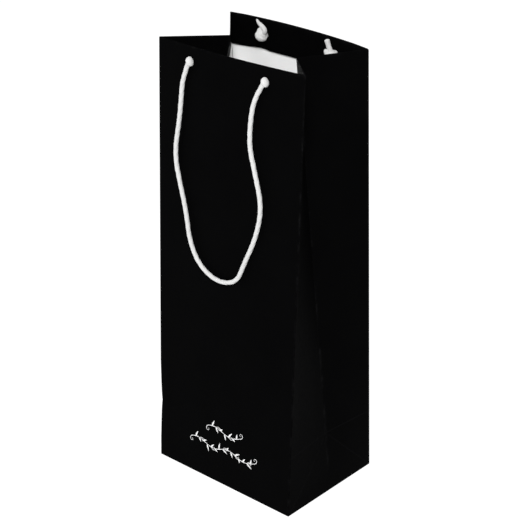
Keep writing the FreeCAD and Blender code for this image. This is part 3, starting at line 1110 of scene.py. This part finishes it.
def pen(points, faces, line, widths):
    """A closed ribbon that follows the front panel, a hair proud of it."""
    tangent = np.gradient(line, axis=0)
    tangent /= np.linalg.norm(tangent, axis=1)[:, None]
    normal = np.stack([-tangent[:, 1], tangent[:, 0]], 1)
    first = len(points)
    for p, n, w in zip(line, normal, widths):
        for side, proud in ((-1, -0.03), (-1, 0.05), (1, 0.05), (1, -0.03)):
            points.append(on_front(p + n * side * w / 2, proud))
    for i in range(len(line) - 1):
        for k in range(4):
            a, b = first + 4 * i + k, first + 4 * i + (k + 1) % 4
            faces.append((a, a + 4, b + 4, b))
    last = first + 4 * (len(line) - 1)
    faces.append((first, first + 1, first + 2, first + 3))
    faces.append((last + 3, last + 2, last + 1, last))


def on_front(place, proud):
    """A point of the front panel's outside, from x and z on it, in metres."""
    x, z = place
    rise = z / HEIGHT
    p = on_wall(FRONT, across_at(FRONT, x, rise, PLAIN), rise, PLAIN)
    return (p - inward(FRONT, rise) * (MID + proud)) * MM


def leaf(points, faces, root, heading, length, width):
    line = arc_line(root, heading, [(length, 3.0, -5.0)], 0.35)
    s = np.linspace(0, 1, len(line))
    pen(points, faces, line, 0.12 + width * np.sin(np.pi * s ** 0.75) ** 1.2)


def sprig(points, faces, x0, x1, height, leaves, waves):
    """A waving stem with leaves in turn on each side and a curl at each end."""
    xs = np.linspace(x0, x1, int((x1 - x0) / 0.5))
    k = (xs - x0) / (x1 - x0)
    zs = height + 1.9 * np.sin(2 * np.pi * (k * waves + 0.08))
    stem = np.stack([xs, zs], 1)
    pen(points, faces, stem, 0.30 + 0.35 * np.sin(2 * np.pi * (k * waves * 2)) ** 2)
    slopes = np.gradient(zs, xs)
    for i in range(leaves):
        j = int((i + 0.8) / (leaves + 0.6) * (len(xs) - 1))
        base = math.degrees(math.atan(slopes[j]))
        side = 1 if i % 2 == 0 else -1
        size = 4.6 + 1.5 * math.sin(1.9 * i + waves)
        leaf(points, faces, stem[j], base + side * (52 + 8 * math.sin(i * 2.3)), size, 1.15)
        if i % 3 == 1:
            curl = arc_line(stem[j], base - side * 38,
                            [(4.2, side * 4, side * 26), (3.4, side * 42, side * 60)], 0.3)
            swell = np.sin(np.pi * np.linspace(0, 1, len(curl))) ** 1.5
            pen(points, faces, curl, 0.16 + 0.26 * swell * 0.9)
    for end, slope, turned in ((stem[0], slopes[0], 180), (stem[-1], slopes[-1], 0)):
        heading = turned + math.degrees(math.atan(slope))
        curl = arc_line(end, heading, [(4.5, 8, 26), (5.0, 34, 60)], 0.3)
        pen(points, faces, curl, np.linspace(0.5, 0.22, len(curl)))


def make_motif():
    points, faces = [], []
    sprig(points, faces, -14.5, 17.0, 45.6, 7, 1.0)
    sprig(points, faces, -31.5, 31.5, 30.0, 15, 2.0)
    piece = mesh_object("front_motif", points, faces, smooth=False)
    piece.data.materials.append(motif_material())
    return piece


# ---- cards ---------------------------------------------------------------------------------------
def card_material(name, light, dark, scale):
    """Pressed card, with long fibres, dark flecks and faint clouds."""
    n = Nodes(name)
    place = n.add("TexCoord").outputs["Object"]
    fibres = n.noise(n.stretched(place, (1.0, 0.35, 1.0)), scale, 5.0, 0.65)
    flecks = n.noise(place, scale * 2.7, 2.0, 0.5)
    cloud = n.noise(place, 45.0, 4.0, 0.6)
    colour = n.mix(fibres, (*dark, 1), (*light, 1))
    fleck = tuple(c * 0.6 for c in dark)
    colour = n.mix(n.span(flecks, 0.66, 0.72, 0.0, 0.45), colour, (*fleck, 1))
    colour = n.mix(n.span(cloud, 0.3, 0.75, 0.0, 0.18), colour, (*dark, 1))
    n.set(Base_Color=colour, Roughness=n.span(fibres, 0.3, 0.7, 0.82, 0.94),
          Normal=n.bump(fibres, 0.35, 0.00008))
    n.shader.inputs["Specular IOR Level"].default_value = 0.3
    return n.material


# ---- floor and lights ----------------------------------------------------------------------------
def floor_and_lights():
    size, drop = 6.0, -0.0001
    floor = mesh_object("floor", [(-size, -size, drop), (size, -size, drop), (size, size, drop),
                                  (-size, size, drop)], [(0, 1, 2, 3)], smooth=False)
    n = Nodes("pale_floor")
    n.set(Base_Color=(0.3, 0.3, 0.3, 1), Roughness=0.9)
    n.shader.inputs["Specular IOR Level"].default_value = 0.0
    n.shader.inputs["Emission Color"].default_value = (1, 1, 1, 1)
    n.shader.inputs["Emission Strength"].default_value = 0.88
    floor.data.materials.append(n.material)
    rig.stage(floor)
    world = bpy.data.worlds.new("studio")
    world.use_nodes = True
    background = world.node_tree.nodes["Background"]
    background.inputs["Color"].default_value = (1, 1, 1, 1)
    background.inputs["Strength"].default_value = 0.25
    scene.world = world
    area_light("key", (1.0, -1.2, 1.55), (0, 0, 0.25), 0.5, 41)
    area_light("side", (-1.8, -0.9, 0.9), (0, 0, 0.2), 1.0, 9)
    area_light("mouth", (-0.8, -1.3, 1.9), (0, 0, 0.3), 0.5, 9)


# ---- the whole -----------------------------------------------------------------------------------
camera()
floor_and_lights()

rope = rope_material()
handles = {side: make_handle(side, rope) for side in ("front", "back")}
turns = rounded_knot(overhand_knot(), KNOT_RADIUS / MM)
knots = {"front": [], "back": []}
for name, (tail, pointed, roll) in KNOTS.items():
    side, piece = tie_knot(name, turns, tail, pointed, roll, rope)
    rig.ride(piece, "bag")
    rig.replaces(piece, name + "_knot")
    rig.slot(piece, "rope")
    knots[side].append(piece)

for side in ("front", "back"):
    piece, line = handles[side]
    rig.ride(piece, side + "_handle")
    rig.replaces(piece, side + "_handle_rope")
    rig.slot(piece, "rope")
    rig.cord(piece, exit=HANDLES[side][0], length=HANDLE_LENGTH[side], diameter=ROPE,
            far_end="object", stiffness="limp", lay="hanging", path=line,
            with_pieces=knots[side])

sheet = make_sheet()
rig.ride(sheet, "bag")
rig.replaces(sheet, "front_panel", "back_panel", "left_gusset_front", "left_gusset_back",
            "right_gusset_front", "right_gusset_back", "front_hem", "back_hem",
            "left_gusset_front_hem", "left_gusset_back_hem", "right_gusset_front_hem",
            "right_gusset_back_hem", "seam_flap", "base_front_flap", "base_back_flap",
            "base_left_tuck_flap", "base_right_tuck_flap")
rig.slot(sheet, "bag_paper")
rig.sheet(sheet, flat=(0.477, 0.426), held="folded")

motif = make_motif()
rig.ride(motif, "bag")
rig.slot(motif, "motif_print")

grey_card = card_material("grey_card", (0.60, 0.58, 0.55), (0.44, 0.425, 0.40), 700.0)
white_board = card_material("lined_board", (0.84, 0.83, 0.81), (0.74, 0.73, 0.70), 500.0)
for node, material in (("front_stiffener", grey_card), ("back_stiffener", grey_card),
                       ("base_board", white_board)):
    mesh = frame["nodes"][node].data
    mesh.materials.clear()
    mesh.materials.append(material)

visual_box = [[float(v) for v in c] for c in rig.bounds()]
with open("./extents.json", "w") as out:
    json.dump({"cad": cad_box, "visual": visual_box}, out)
